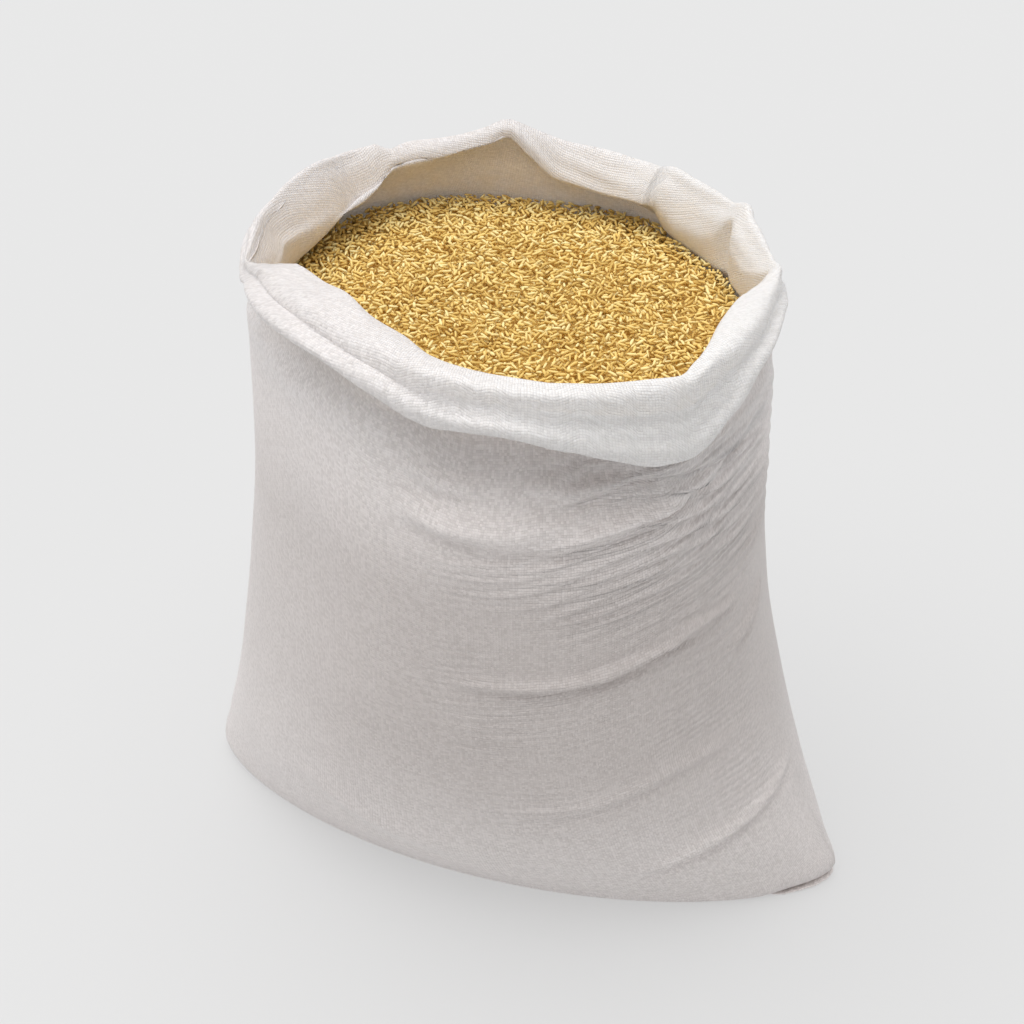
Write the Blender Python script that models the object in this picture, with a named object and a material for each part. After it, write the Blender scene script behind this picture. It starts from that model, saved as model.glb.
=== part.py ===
"""Open woven sack of cat litter, standing on its sewn bottom, its mouth rolled outwards.

Metres, +Z up. The origin is on the floor, under the middle of the sack's footprint.
X runs from ear to ear along the bottom seam, and -Y is the front.
"""

import math

import bmesh
import bpy

# ---------------------------------------------------------------- driving dimensions

COLUMNS = 64               # vertices around each level loop of cloth
CLOTH = 0.0016             # thickness of the cloth wall
CLEARANCE = 0.0009         # gap that the filling keeps to the cloth

# Level sections of the filled body, from the floor edge up to the neck:
# height, half-width at the left ear, half-width at the right ear, half-depth,
# sharpness of the two ears (1 is an ellipse), skew of the section
BODY_SECTIONS = (
    (0.000, 0.225, 0.225, 0.080, 1.30, 0.00),
    (0.003, 0.230, 0.230, 0.085, 1.30, 0.00),
    (0.008, 0.232, 0.232, 0.088, 1.30, 0.00),
    (0.035, 0.225, 0.222, 0.108, 1.25, 0.00),
    (0.080, 0.213, 0.203, 0.134, 1.15, 0.00),
    (0.140, 0.200, 0.185, 0.150, 1.05, 0.01),
    (0.220, 0.188, 0.169, 0.158, 1.00, 0.03),
    (0.310, 0.183, 0.163, 0.158, 0.97, 0.06),
    (0.400, 0.184, 0.162, 0.153, 0.97, 0.08),
)
SKEW_ANGLE = 130           # direction in which the skewed neck is longest, degrees

# The rolled mouth, station by station around the sack: angle in degrees, radius of the
# mouth inside the roll, height of the crest, radius outside the roll, height of its lower edge
MOUTH_STATIONS = (
    (0, 0.150, 0.468, 0.166, 0.446),
    (20, 0.137, 0.466, 0.153, 0.440),
    (40, 0.131, 0.464, 0.153, 0.436),
    (65, 0.131, 0.461, 0.151, 0.434),
    (92, 0.132, 0.463, 0.155, 0.434),
    (115, 0.146, 0.469, 0.166, 0.436),
    (143, 0.141, 0.464, 0.175, 0.440),
    (170, 0.130, 0.467, 0.175, 0.446),
    (205, 0.130, 0.468, 0.170, 0.450),
    (235, 0.127, 0.468, 0.169, 0.450),
    (258, 0.135, 0.466, 0.171, 0.444),
    (275, 0.150, 0.464, 0.173, 0.438),
    (295, 0.163, 0.463, 0.182, 0.432),
    (318, 0.172, 0.462, 0.189, 0.418),
    (338, 0.160, 0.466, 0.184, 0.438),
)
# Section through the roll, from inside the mouth over the crest and down the outside:
# share of the roll's width, share of its drop from crest to lower edge
ROLL_SECTION = (
    (0.00, 0.50),
    (0.04, 0.18),
    (0.20, 0.03),
    (0.45, 0.00),
    (0.76, 0.10),
    (0.96, 0.36),
    (1.00, 0.70),
    (0.93, 1.00),
    (0.74, 0.96),
)

LITTER_LEVEL = 0.411       # height of the litter where it meets the cloth
LITTER_CROWN = 0.420       # height of the litter in the middle of the mouth
EAR_VOID = 0.006           # the litter stops this far short of the ears' cloth

SEAM_HALF_WIDTH = 0.011    # half-width of the shallow valley along the bottom seam
SEAM_ROOF = 0.0036         # height of the valley's roof over the floor
SEAM_END = 0.014           # the valley stops this far short of each ear
SEAM_ROOF_SHARE = 0.4      # width of the valley's roof as a share of its mouth
SEAM_ROOF_INSET = 0.004    # the roof ends this far inside the valley's ends
SEAM_BLUNTNESS = 0.6       # 1 is an ellipse, and less is blunter
STITCH = 0.008             # length of one chain stitch
STITCH_SWAY = 0.0007       # sideways sway of the chain of loops
THREAD_RADIUS = 0.0006
THREAD_HEIGHT = 0.0014     # height of the thread's centre line over the floor

FOOTPRINT_SHIFT_Y = 0.0066 # moves the middle of the footprint onto the origin


# ---------------------------------------------------------------- small helpers

def smooth_table(rows, x, column, period=None):
    """Read one column of a table as a smooth curve that never overshoots its rows."""
    points = [(row[0], row[column]) for row in rows]
    if period:
        x %= period
        points = ([(px - period, py) for px, py in points[-2:]] + points
                  + [(px + period, py) for px, py in points[:2]])
    x = min(max(x, points[0][0]), points[-1][0])
    index = max(i for i in range(len(points) - 1) if points[i][0] <= x)
    slopes = [(b[1] - a[1]) / (b[0] - a[0]) for a, b in zip(points, points[1:])]

    def tangent(i):
        if i == 0 or i == len(slopes):
            return slopes[min(i, len(slopes) - 1)]
        before, after = slopes[i - 1], slopes[i]
        return 0.0 if before * after <= 0 else 2 * before * after / (before + after)

    (x0, y0), (x1, y1) = points[index], points[index + 1]
    run = x1 - x0
    t = (x - x0) / run
    ease = t * t * (3 - 2 * t)
    return (y0 + (y1 - y0) * ease
            + run * (tangent(index) * t * (1 - t) ** 2 - tangent(index + 1) * t * t * (1 - t)))


def column_angles():
    return [2 * math.pi * i / COLUMNS for i in range(COLUMNS)]


def blend(a, b, share):
    return tuple(u + (v - u) * share for u, v in zip(a, b))


# ---------------------------------------------------------------- the sack's form

def body_point(angle, height, side_gap=0.0, ear_gap=0.0):
    """Point of the filled body's surface, moved inwards by the two gaps."""
    left, right, depth, sharpness, skew = (
        smooth_table(BODY_SECTIONS, height, column) for column in range(1, 6))
    c, s = math.cos(angle), math.sin(angle)
    width = right + (left - right) * (0.5 - 0.5 * c) - ear_gap
    stretch = 1 + skew * math.cos(2 * (angle - math.radians(SKEW_ANGLE)))
    return (width * c * stretch,
            (depth - side_gap) * math.copysign(abs(s) ** sharpness, s) * stretch,
            height)


def roll_point(angle, width_share, drop_share):
    """Point of the rolled mouth's cloth."""
    inner, crest, outer, lower = (
        smooth_table(MOUTH_STATIONS, math.degrees(angle), column, 360) for column in range(1, 5))
    radius = inner + (outer - inner) * width_share
    return (radius * math.cos(angle), radius * math.sin(angle), crest - (crest - lower) * drop_share)


def neck_point(angle, height, gap=0.0):
    """Point of the cloth between the filled body and the inside of the roll."""
    foot = body_point(angle, BODY_SECTIONS[-1][0], gap, gap)
    head = roll_point(angle, *ROLL_SECTION[0])
    share = (height - foot[2]) / (head[2] - foot[2])
    x, y, z = blend(foot, head, share)
    reach = math.hypot(x, y)
    keep = 1 - gap * share / reach
    return (x * keep, y * keep, z)


def place(points):
    return [(x, y + FOOTPRINT_SHIFT_Y, z) for x, y, z in points]


def seam_loop(half_width, height, inset):
    """Long narrow loop around the bottom seam, blunt at both ears."""
    reach = BODY_SECTIONS[0][1] - SEAM_END - inset
    return [(reach * math.cos(a),
             half_width * math.copysign(abs(math.sin(a)) ** SEAM_BLUNTNESS, math.sin(a)),
             height)
            for a in column_angles()]


def seam_valley(gap=0.0):
    """Roof and mouth of the valley, as the cloth has it or moved into the sack by a gap."""
    roof_half_width = SEAM_HALF_WIDTH * SEAM_ROOF_SHARE
    return [seam_loop(roof_half_width + gap, SEAM_ROOF + gap, SEAM_ROOF_INSET - gap),
            seam_loop(SEAM_HALF_WIDTH + gap, gap, -gap)]


# ---------------------------------------------------------------- building

def grow_loops(bm, loops):
    """Draw the first loop, extrude it from loop to loop, and return the first and last edges."""
    column = bm.verts.layers.int.new("column")
    verts = [bm.verts.new(point) for point in place(loops[0])]
    for index, vert in enumerate(verts):
        vert[column] = index
    first = [bm.edges.new((vert, verts[(index + 1) % COLUMNS])) for index, vert in enumerate(verts)]
    ring = first
    for loop in loops[1:]:
        points = place(loop)
        grown = bmesh.ops.extrude_edge_only(bm, edges=ring)["geom"]
        fresh = {item for item in grown if isinstance(item, bmesh.types.BMVert)}
        for vert in fresh:
            vert.co = points[vert[column]]
        ring = [item for item in grown
                if isinstance(item, bmesh.types.BMEdge) and fresh.issuperset(item.verts)]
    return first, ring


def close_loop(bm, ring):
    bmesh.ops.contextual_create(bm, geom=ring)


def make_material(name, colour, roughness):
    material = bpy.data.materials.new(name)
    material.use_nodes = True
    shader = material.node_tree.nodes["Principled BSDF"]
    shader.inputs["Base Color"].default_value = (*colour, 1)
    shader.inputs["Roughness"].default_value = roughness
    shader.inputs["Metallic"].default_value = 0.0
    material.diffuse_color = (*colour, 1)
    return material


def add_object(name, data, material):
    data.materials.append(material)
    item = bpy.data.objects.new(name, data)
    bpy.context.scene.collection.objects.link(item)
    return item


def mesh_from(bm, name):
    bmesh.ops.recalc_face_normals(bm, faces=bm.faces)
    mesh = bpy.data.meshes.new(name)
    bm.to_mesh(mesh)
    bm.free()
    mesh.shade_smooth()
    mesh.set_sharp_from_angle(angle=math.radians(50))
    return mesh


def make_woven_sack():
    """One piece of cloth: bottom, filled body, neck and the mouth rolled outwards."""
    angles = column_angles()
    heights = [row[0] for row in BODY_SECTIONS]
    loops = seam_valley()
    loops += [[body_point(a, height) for a in angles] for height in heights]
    loops += [[neck_point(a, LITTER_LEVEL + 0.006) for a in angles]]
    loops += [[roll_point(a, *step) for a in angles] for step in ROLL_SECTION]
    bm = bmesh.new()
    seam, _ = grow_loops(bm, loops)
    close_loop(bm, seam)
    bmesh.ops.recalc_face_normals(bm, faces=bm.faces)
    lowest = min(bm.faces, key=lambda face: face.calc_center_median().z)
    if lowest.normal.z > 0:
        bmesh.ops.reverse_faces(bm, faces=bm.faces)
    mesh = bpy.data.meshes.new("woven_sack")
    bm.to_mesh(mesh)
    bm.free()
    mesh.shade_smooth()
    sack = add_object("woven_sack", mesh, make_material("woven_polypropylene", (0.66, 0.64, 0.62), 0.55))
    wall = sack.modifiers.new("cloth", "SOLIDIFY")
    wall.thickness = CLOTH
    wall.offset = -1
    wall.use_even_offset = True
    return sack


def make_litter_fill():
    """The litter as one solid, a little clear of the cloth, with a low crown in the mouth."""
    angles = column_angles()
    gap = CLOTH + CLEARANCE
    loops = seam_valley(gap)
    for row in BODY_SECTIONS:
        raised = row[0] + gap * max(0.0, 1 - row[0] / BODY_SECTIONS[3][0])
        section = [body_point(a, row[0], gap, EAR_VOID) for a in angles]
        loops.append([(x, y, raised) for x, y, _ in section])
    loops.append([neck_point(a, LITTER_LEVEL, gap + 0.001) for a in angles])
    edge = loops[-1]
    for share in (0.85, 0.6, 0.3):
        height = LITTER_CROWN - (LITTER_CROWN - LITTER_LEVEL) * share ** 2
        loops.append([(x * share, y * share, height) for x, y, _ in edge])
    bm = bmesh.new()
    seam, crown = grow_loops(bm, loops)
    close_loop(bm, seam)
    close_loop(bm, crown)
    return add_object("litter_fill", mesh_from(bm, "litter_fill"),
                      make_material("litter_granules", (0.60, 0.37, 0.11), 0.8))


def make_bottom_seam_thread():
    """Chain stitch along the bottom seam, drawn as one swaying thread."""
    reach = BODY_SECTIONS[0][1] - SEAM_END - 3 * STITCH
    steps = int(2 * reach / (STITCH / 2))
    curve = bpy.data.curves.new("bottom_seam_thread", "CURVE")
    curve.dimensions = "3D"
    curve.bevel_depth = THREAD_RADIUS
    curve.bevel_resolution = 1
    curve.use_fill_caps = True
    spline = curve.splines.new("POLY")
    spline.points.add(steps)
    for i, point in enumerate(spline.points):
        x = -reach + 2 * reach * i / steps
        sway = STITCH_SWAY * (1 if i % 2 else -1)
        point.co = (x, FOOTPRINT_SHIFT_Y + sway, THREAD_HEIGHT, 1)
    return add_object("bottom_seam_thread", curve, make_material("sewing_thread", (0.80, 0.79, 0.76), 0.6))


def clear_scene():
    for item in list(bpy.data.objects):
        bpy.data.objects.remove(item, do_unlink=True)


clear_scene()
make_woven_sack()
make_litter_fill()
make_bottom_seam_thread()
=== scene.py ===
import math

import bmesh
import bpy
import numpy as np
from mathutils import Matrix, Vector


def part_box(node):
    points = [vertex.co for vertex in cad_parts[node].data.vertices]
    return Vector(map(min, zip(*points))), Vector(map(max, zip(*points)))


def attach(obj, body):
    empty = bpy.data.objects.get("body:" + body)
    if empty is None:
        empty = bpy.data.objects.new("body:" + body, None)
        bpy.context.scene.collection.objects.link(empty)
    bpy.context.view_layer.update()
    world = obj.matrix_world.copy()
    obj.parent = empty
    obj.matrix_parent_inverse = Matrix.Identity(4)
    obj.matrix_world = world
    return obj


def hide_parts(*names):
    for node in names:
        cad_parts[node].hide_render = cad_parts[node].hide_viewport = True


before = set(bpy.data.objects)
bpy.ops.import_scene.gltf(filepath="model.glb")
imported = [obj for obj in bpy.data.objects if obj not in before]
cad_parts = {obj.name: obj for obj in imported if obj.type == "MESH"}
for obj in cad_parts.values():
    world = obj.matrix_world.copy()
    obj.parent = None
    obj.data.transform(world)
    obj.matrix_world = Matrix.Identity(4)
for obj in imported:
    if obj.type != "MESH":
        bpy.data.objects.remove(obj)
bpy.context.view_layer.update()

# The open sack of cat litter: one rolled cloth, its sewn hem and stitches, and the loose granules.
# Metres, +Z up, -Y the front. The tables are written for a sack 464 mm from ear to ear whose
# floor seam lies on y = 0, and the frame's own box then gives the size and the place.

SACK_LOW, SACK_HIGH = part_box("woven_sack")
LITTER_LOW, LITTER_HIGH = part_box("litter_fill")
THREAD_LOW, THREAD_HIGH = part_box("bottom_seam_thread")
SIZE = (SACK_HIGH.x - SACK_LOW.x) / 0.464
SEAM_Y = (THREAD_LOW.y + THREAD_HIGH.y) / 2

TWO_PI = 2 * math.pi


# ---------------------------------------------------------------- the cloth's form

COLUMNS = 220              # vertices around the sack
DENSE_SIDE = math.radians(280)   # the vertices lie closest on this side,
DENSITY = 0.2              # by this share over even spacing
GIRTH = 1.06               # the woven tube's girth, and so the width of the flat cloth
CLOTH = 0.0004             # thickness of the cloth
FLOOR_ROWS = 5             # loops across the floor, from its seam outwards
SEAM_LIFT = 0.0032         # height of the floor seam over the ground, with the hem lying under it
TAB_LIFT = 0.0035          # how far the folded hem lifts the corner at the right ear
NECK = 0.388               # height where the filled body ends and the rolled mouth begins
BODY_RADIUS = 0.170        # mean radius of the filled body
WALL_ROWS = 14             # loops from the neck to the lower edge of the roll's inner face
ROLL_ROWS = 58             # loops from there over the crest to the tucked-in edge

# height, half-width at the left ear, half-width at the right ear, half-depth,
# sharpness of the two ears, skew
BODY_SECTIONS = np.array((
    (0.000, 0.2250, 0.2250, 0.080, 1.30, 0.00),
    (0.003, 0.2300, 0.2300, 0.085, 1.30, 0.00),
    (0.008, 0.2320, 0.2320, 0.088, 1.30, 0.00),
    (0.035, 0.2250, 0.2220, 0.108, 1.25, 0.00),
    (0.080, 0.2130, 0.2030, 0.134, 1.15, 0.00),
    (0.140, 0.2000, 0.1850, 0.150, 1.05, 0.01),
    (0.220, 0.1880, 0.1690, 0.158, 1.00, 0.03),
    (0.310, 0.1830, 0.1630, 0.158, 0.97, 0.06),
    (0.400, 0.1840, 0.1620, 0.153, 0.97, 0.08),
))
SKEW_ANGLE = math.radians(130)

# Around the mouth: angle, radius at the low edge of the roll's inner face, how far that edge
# hangs below the crest, how much wider the roll is at its crest, height of the crest,
# radius outside the roll, height of its lower edge, fatness (0 flat, 1 fat),
# lean (1 where the top slopes down into the mouth, 0 where it is level)
MOUTH_STATIONS = np.array((
    (4, 0.150, 0.016, 0.000, 0.464, 0.165, 0.446, 0.2, 0.2),
    (9, 0.152, 0.014, 0.000, 0.462, 0.162, 0.444, 0.1, 0.2),
    (14, 0.145, 0.026, 0.000, 0.459, 0.159, 0.442, 0.0, 0.4),
    (24, 0.139, 0.042, -0.002, 0.460, 0.158, 0.428, 0.0, 0.7),
    (33, 0.138, 0.046, -0.002, 0.462, 0.158, 0.420, 0.0, 0.7),
    (39, 0.142, 0.047, 0.001, 0.464, 0.160, 0.417, 0.0, 0.4),
    (45, 0.137, 0.046, -0.003, 0.461, 0.159, 0.415, 0.0, 0.8),
    (58, 0.136, 0.046, -0.006, 0.461, 0.158, 0.414, 0.0, 0.9),
    (66, 0.137, 0.044, -0.006, 0.463, 0.159, 0.415, 0.0, 0.7),
    (71, 0.150, 0.012, -0.022, 0.459, 0.159, 0.418, 0.0, 0.6),
    (84, 0.150, 0.014, -0.020, 0.460, 0.159, 0.424, 0.0, 0.7),
    (98, 0.150, 0.014, -0.014, 0.461, 0.161, 0.430, 0.0, 0.7),
    (107, 0.152, 0.012, -0.006, 0.465, 0.165, 0.436, 0.0, 0.4),
    (112, 0.155, 0.010, -0.002, 0.468, 0.169, 0.436, 0.0, 0.2),
    (117, 0.153, 0.012, -0.002, 0.464, 0.168, 0.437, 0.0, 0.2),
    (129, 0.151, 0.012, -0.002, 0.460, 0.167, 0.438, 0.0, 0.2),
    (137, 0.153, 0.012, 0.000, 0.459, 0.168, 0.440, 0.2, 0.2),
    (141, 0.157, 0.012, 0.000, 0.456, 0.168, 0.440, 0.4, 0.2),
    (144, 0.153, 0.020, 0.000, 0.464, 0.174, 0.441, 0.4, 0.5),
    (149, 0.150, 0.026, 0.000, 0.465, 0.177, 0.442, 0.3, 0.8),
    (160, 0.149, 0.036, 0.000, 0.467, 0.178, 0.444, 0.3, 1.0),
    (170, 0.154, 0.047, -0.004, 0.466, 0.178, 0.445, 0.3, 1.0),
    (179, 0.158, 0.051, -0.006, 0.465, 0.176, 0.446, 0.2, 0.9),
    (185, 0.159, 0.052, -0.004, 0.463, 0.175, 0.448, 0.1, 0.8),
    (190, 0.157, 0.052, -0.004, 0.465, 0.174, 0.449, 0.1, 0.9),
    (199, 0.159, 0.048, -0.002, 0.462, 0.172, 0.450, 0.1, 0.8),
    (205, 0.161, 0.040, 0.000, 0.463, 0.173, 0.451, 0.1, 0.5),
    (209, 0.152, 0.022, 0.000, 0.464, 0.173, 0.452, 0.4, 0.1),
    (213, 0.138, 0.018, 0.000, 0.466, 0.173, 0.453, 0.8, 0.0),
    (221, 0.130, 0.018, 0.000, 0.466, 0.171, 0.453, 1.0, 0.0),
    (233, 0.124, 0.018, 0.000, 0.468, 0.168, 0.452, 1.0, 0.0),
    (245, 0.127, 0.018, 0.000, 0.467, 0.166, 0.449, 1.0, 0.0),
    (257, 0.132, 0.018, 0.000, 0.466, 0.168, 0.445, 0.9, 0.0),
    (267, 0.141, 0.018, 0.000, 0.464, 0.170, 0.435, 0.6, 0.0),
    (272, 0.146, 0.018, 0.000, 0.464, 0.171, 0.432, 0.3, 0.0),
    (284, 0.154, 0.018, 0.000, 0.463, 0.177, 0.436, 0.1, 0.0),
    (296, 0.162, 0.018, 0.000, 0.463, 0.182, 0.428, 0.0, 0.0),
    (306, 0.166, 0.018, 0.000, 0.462, 0.185, 0.419, 0.0, 0.0),
    (314, 0.171, 0.018, 0.000, 0.462, 0.188, 0.412, 0.0, 0.0),
    (319, 0.175, 0.016, 0.000, 0.462, 0.190, 0.412, 0.0, 0.0),
    (323, 0.170, 0.018, 0.000, 0.464, 0.189, 0.415, 0.0, 0.0),
    (329, 0.162, 0.018, 0.000, 0.464, 0.185, 0.423, 0.0, 0.0),
    (341, 0.149, 0.018, 0.000, 0.465, 0.178, 0.442, 0.0, 0.1),
    (353, 0.144, 0.018, 0.000, 0.464, 0.171, 0.447, 0.1, 0.1),
))
# Sections through the roll, from the inside of the mouth over the crest to the tucked-in edge:
# share of the roll's width, share of its drop
FLAT_ROLL = np.array((
    (0.00, 0.16), (0.10, 0.02), (0.40, 0.00), (0.64, 0.07), (0.73, 0.28), (0.76, 0.48),
    (0.86, 0.66), (0.98, 0.78), (1.00, 0.90), (0.92, 1.00), (0.66, 0.96), (0.50, 0.72), (0.46, 0.40),
))
FAT_ROLL = np.array((
    (0.00, 0.22), (0.10, 0.05), (0.36, 0.00), (0.60, 0.10), (0.72, 0.34), (0.75, 0.52),
    (0.84, 0.58), (0.96, 0.68), (1.00, 0.84), (0.95, 1.00), (0.74, 0.98), (0.56, 0.76), (0.46, 0.46),
))
LEAN = (0.030, 0.025, 0.012, 0.003, 0, 0, 0, 0, 0, 0, 0, 0, 0)   # drop at full lean
LITTER_EDGE = 0.411        # height of the litter against the cloth


def smooth_curve(x, xs, ys, period=None):
    """Smooth curve through a table's points that never overshoots them."""
    if period:
        xs = np.concatenate((xs - period, xs, xs + period))
        ys = np.concatenate((ys, ys, ys))
        x = np.mod(x, period)
    run = np.diff(xs)
    slope = np.diff(ys) / run
    tangent = np.zeros(len(xs))
    tangent[0], tangent[-1] = slope[0], slope[-1]
    rising = slope[:-1] * slope[1:] > 0
    total = np.where(rising, slope[:-1] + slope[1:], 1.0)
    tangent[1:-1] = np.where(rising, 2 * slope[:-1] * slope[1:] / total, 0.0)
    x = np.clip(x, xs[0], xs[-1])
    k = np.clip(np.searchsorted(xs, x, side="right") - 1, 0, len(xs) - 2)
    t = (x - xs[k]) / run[k]
    ease = t * t * (3 - 2 * t)
    bend = tangent[k] * t * (1 - t) ** 2 - tangent[k + 1] * t * t * (1 - t)
    return ys[k] + (ys[k + 1] - ys[k]) * ease + run[k] * bend


def smooth_step(low, high, x):
    t = np.clip((x - low) / (high - low), 0, 1)
    return t * t * (3 - 2 * t)


def body_loop(angle, height):
    """Level loop of the filled body."""
    left, right, depth, sharpness, skew = (
        smooth_curve(height, BODY_SECTIONS[:, 0], BODY_SECTIONS[:, i]) for i in range(1, 6))
    c, s = np.cos(angle), np.sin(angle)
    width = right + (left - right) * (0.5 - 0.5 * c)
    stretch = 1 + skew * np.cos(2 * (angle - SKEW_ANGLE))
    return np.stack((width * c * stretch,
                     depth * np.sign(s) * np.abs(s) ** sharpness * stretch,
                     height + 0 * c), -1)


def mouth_values(angle):
    degrees = np.degrees(angle)
    return [smooth_curve(degrees, MOUTH_STATIONS[:, 0], MOUTH_STATIONS[:, i], 360) for i in range(1, 9)]


def polar_loop(angle, radius, height):
    return np.stack((radius * np.cos(angle), radius * np.sin(angle), height + 0 * angle), -1)


def roll_loops(angle):
    """Loops along the rolled mouth, from its inner edge to the tucked-in edge."""
    inner, hang, flare, crest, outer, lower, fat, lean = mouth_values(angle)
    loops = [polar_loop(angle, inner, crest - hang)]
    brim = inner + flare
    for flat_point, fat_point, leaning in zip(FLAT_ROLL, FAT_ROLL, LEAN):
        across = flat_point[0] + (fat_point[0] - flat_point[0]) * fat
        down = flat_point[1] + (fat_point[1] - flat_point[1]) * fat
        height = crest - (crest - lower) * down - leaning * lean
        loops.append(polar_loop(angle, brim + (outer - brim) * across, height))
    return loops


def through(controls, places):
    """Smooth loops through control loops, at fractional places along their list."""
    controls = np.asarray(controls)
    last = len(controls) - 1
    tangents = np.gradient(controls, axis=0)
    loops = []
    for place in places:
        k = min(int(place), last - 1)
        t = place - k
        loops.append((2 * t ** 3 - 3 * t ** 2 + 1) * controls[k] + (t ** 3 - 2 * t ** 2 + t) * tangents[k]
                     + (3 * t ** 2 - 2 * t ** 3) * controls[k + 1] + (t ** 3 - t ** 2) * tangents[k + 1])
    return loops


def body_loops(angle):
    """Level loops of the filled body, from the floor seam to the neck."""
    floor = body_loop(angle, 0.0)
    seam = floor * (0.965, 0, 1) + (0, 0, SEAM_LIFT)
    loops = [seam + (floor - seam) * share for share in np.linspace(0, 0.85, FLOOR_ROWS)]
    loops += [body_loop(angle, height) for height in (0.0, 0.0015, 0.004)]
    loops += [body_loop(angle, height) for height in np.linspace(0.008, 0.200, 64)]
    loops += [body_loop(angle, height) for height in np.linspace(0.200, NECK, 82)[1:]]
    loops = np.array(loops)
    # the folded hem lifts the corner at the right ear
    near_ear = smooth_step(0.185, 0.212, loops[..., 0])
    near_floor = 1 - smooth_step(0.004, 0.030, loops[..., 2])
    loops[..., 2] += TAB_LIFT * near_ear * near_floor
    return loops


def mouth_loops(angle):
    """Loops of the cloth from the neck up its inside, over the roll and under again."""
    controls = [body_loop(angle, height) for height in (NECK, 0.402)]
    roll = roll_loops(angle)
    controls.append(controls[-1] + (roll[0] - controls[-1]) * 0.55)
    controls += roll
    wall = np.linspace(0, 4, WALL_ROWS + 1)
    over = np.linspace(4, len(controls) - 1, ROLL_ROWS + 1)[1:]
    places = np.concatenate((wall, over))
    return np.array(through(controls, places))


# ---------------------------------------------------------------- folds in the cloth

BODY_WAVES = 0.0009        # height of the soft unevenness all over the body
DRAG_RISE = 0.0018         # height of the drag lines on the right, which climb to the right
DRAG_PERIOD = 0.0120
DRAG_CLIMB = 0.034
FINE_RISE = 0.00060        # height of the fine lines across the front
FINE_PERIOD = 0.0092
NECK_DRAW = 0.029          # how far the cloth draws in under the roll at the front, and at its left
NECK_DRAW_LEFT = 0.008
PLEAT_RISE = 0.0008
ROLL_DENTS = 0.0006
ROLL_CREASES = 0.0010
ROLL_STREAKS = 0.00030


def wave_noise(angle, height, around, upward, waves, seed):
    """Soft noise that closes on itself around the sack. around and upward are its finest detail."""
    random = np.random.default_rng(seed)
    total = 0
    for _ in range(waves):
        turns = random.integers(1, around + 1)
        rate = random.uniform(-upward, upward)
        total = total + np.cos(turns * angle + rate * height + random.uniform(0, TWO_PI))
    return total / math.sqrt(waves / 2)


# Single creases: points as (angle in degrees, height), half-width, height of the ridge
CREASES = (
    (((272, 0.2385), (290, 0.243), (304, 0.251), (315, 0.2615), (325, 0.267), (343, 0.267)), 0.0042, 0.0058),
    (((276, 0.229), (288, 0.233), (300, 0.240)), 0.0028, 0.0012),
    (((283, 0.125), (300, 0.138), (318, 0.156), (342, 0.164)), 0.0042, 0.0026),
    (((280, 0.104), (290, 0.109), (300, 0.117)), 0.0036, 0.0010),
    (((300, 0.050), (312, 0.069), (330, 0.089), (345, 0.101), (358, 0.107)), 0.0046, 0.0048),
    (((338, 0.226), (350, 0.238), (359, 0.250)), 0.0044, 0.0034),
    (((233, 0.098), (243, 0.086), (256, 0.071), (270, 0.064)), 0.0120, 0.0026),
    (((262, 0.362), (272, 0.357), (284, 0.358), (298, 0.366)), 0.0075, 0.0066),
    (((262, 0.386), (270, 0.378), (280, 0.380)), 0.0050, 0.0048),
    (((276, 0.346), (294, 0.351), (310, 0.364), (324, 0.382)), 0.0050, 0.0046),
    (((288, 0.384), (297, 0.380), (306, 0.386), (312, 0.396)), 0.0055, 0.0064),
    (((303, 0.358), (318, 0.374), (330, 0.388), (344, 0.396)), 0.0050, 0.0046),
    (((150, 0.120), (168, 0.140), (188, 0.133)), 0.0060, 0.0018),
    (((60, 0.300), (84, 0.312), (110, 0.300)), 0.0050, 0.0022),
    (((96, 0.190), (118, 0.176), (140, 0.186)), 0.0060, 0.0022),
    (((28, 0.070), (46, 0.094), (66, 0.100)), 0.0050, 0.0020),
)


def ridge(angle, height, points, half_width, rise):
    """A long crease: a ridge with a hollow just under it, fading out at both ends."""
    px = np.radians([point[0] for point in points]) * BODY_RADIUS
    py = np.array([point[1] for point in points])
    x, y = np.mod(angle, TWO_PI) * BODY_RADIUS, height
    nearest = np.full(x.shape, 1.0)
    side = np.zeros(x.shape)
    along = np.zeros(x.shape)
    for k in range(len(px) - 1):
        dx, dy = px[k + 1] - px[k], py[k + 1] - py[k]
        length = math.hypot(dx, dy)
        t = np.clip(((x - px[k]) * dx + (y - py[k]) * dy) / length ** 2, 0, 1)
        off_x, off_y = x - px[k] - t * dx, y - py[k] - t * dy
        distance = np.hypot(off_x, off_y)
        closer = distance < nearest
        nearest = np.where(closer, distance, nearest)
        side = np.where(closer, np.sign(dx * off_y - dy * off_x) * distance, side)
        along = np.where(closer, (k + t) / (len(px) - 1), along)
    fade = np.sin(np.pi * np.clip(along, 0, 1)) ** 0.6
    across = side / half_width
    return rise * fade * (np.exp(-across ** 2) - 0.6 * np.exp(-(across + 1.7) ** 2))


def angle_window(degrees, start, full, fade, end):
    """1 between full and fade, easing to 0 at start and end; degrees may pass 360."""
    turned = np.mod(degrees - start, 360) + start
    return smooth_step(start, full, turned) * (1 - smooth_step(fade, end, turned))


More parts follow.
